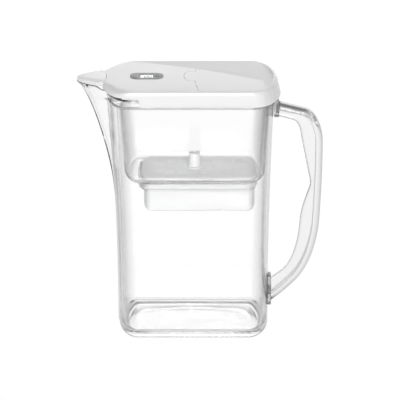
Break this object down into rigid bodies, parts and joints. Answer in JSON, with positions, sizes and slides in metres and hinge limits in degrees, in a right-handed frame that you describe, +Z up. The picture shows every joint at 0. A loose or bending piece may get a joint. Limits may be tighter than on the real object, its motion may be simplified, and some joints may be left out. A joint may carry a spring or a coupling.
{
  "type": "water filter pitcher with flip lid",
  "caption": "Clear fridge-door water pitcher with a hopper, filter cartridge, white lid with flip-up fill flap, hinged spout cap and filter indicator.",
  "frame": {"origin": "centre of the jug's base, on the surface that it stands on", "axes": "+X towards the handle, -X towards the spout, +Y towards the back wall, +Z up"},
  "size_m": [0.2595, 0.1066, 0.2775],
  "materials": {
    "clear_jug": "clear, polished mould",
    "clear_handle": "clear, polished mould",
    "clear_hopper": "clear, polished mould",
    "cartridge_white": "satin white",
    "soft_seal": "soft grey",
    "filter_granules": "fine dark granules",
    "screen_mesh": "fine white mesh",
    "lid_white": "white, fine satin",
    "liner_white": "white, plain",
    "bezel_grey": "mid grey, satin",
    "clear_lens": "clear window",
    "button_grey": "dark grey",
    "lcd_glass": "grey-green display",
    "board_green": "solder mask",
    "spring_steel": "plated strip",
    "cell_steel": "button cell can"
  },
  "bodies": {
    "jug": {"jug_shell": "clear_jug", "handle": "clear_handle"},
    "hopper": {"hopper": "clear_hopper"},
    "cartridge": {"cartridge_cup": "cartridge_white", "cartridge_cap": "cartridge_white", "cartridge_seal": "soft_seal", "filter_media": "filter_granules", "upper_screen": "screen_mesh", "lower_screen": "screen_mesh"},
    "lid": {"lid_shell": "lid_white", "lid_liner": "liner_white", "indicator_bezel": "bezel_grey", "indicator_lens": "clear_lens", "indicator_case": "liner_white", "indicator_seal": "soft_seal", "lcd_panel": "lcd_glass", "lcd_connector": "soft_seal", "circuit_board": "board_green", "battery_clip": "spring_steel", "coin_cell": "cell_steel"},
    "flip_lid": {"flip_lid": "lid_white"},
    "spout_cap": {"spout_cap": "lid_white"},
    "reset_button": {"reset_button": "button_grey"}
  },
  "joints": [
    {"name": "hopper_lift", "type": "slide", "parent": "jug", "child": "hopper", "axis": [0, 0, 1], "range_m": [0, 0.11]},
    {"name": "cartridge_lift", "type": "slide", "parent": "hopper", "child": "cartridge", "axis": [0, 0, 1], "range_m": [0, 0.055]},
    {"name": "lid_lift", "type": "slide", "parent": "hopper", "child": "lid", "axis": [0, 0, 1], "range_m": [0, 0.08]},
    {"name": "flip_hinge", "type": "hinge", "parent": "lid", "child": "flip_lid", "pos_m": [-0.0015, 0, 0.2756], "axis": [0, -1, 0], "range_deg": [0, 98]},
    {"name": "spout_hinge", "type": "hinge", "parent": "lid", "child": "spout_cap", "pos_m": [-0.098, 0, 0.2756], "axis": [0, 1, 0], "range_deg": [0, 65]},
    {"name": "reset_press", "type": "slide", "parent": "lid", "child": "reset_button", "axis": [0, 0, -1], "range_m": [0, 0.0006], "stiffness_N_per_m": 300, "springref_m": -0.0008}
  ]
}
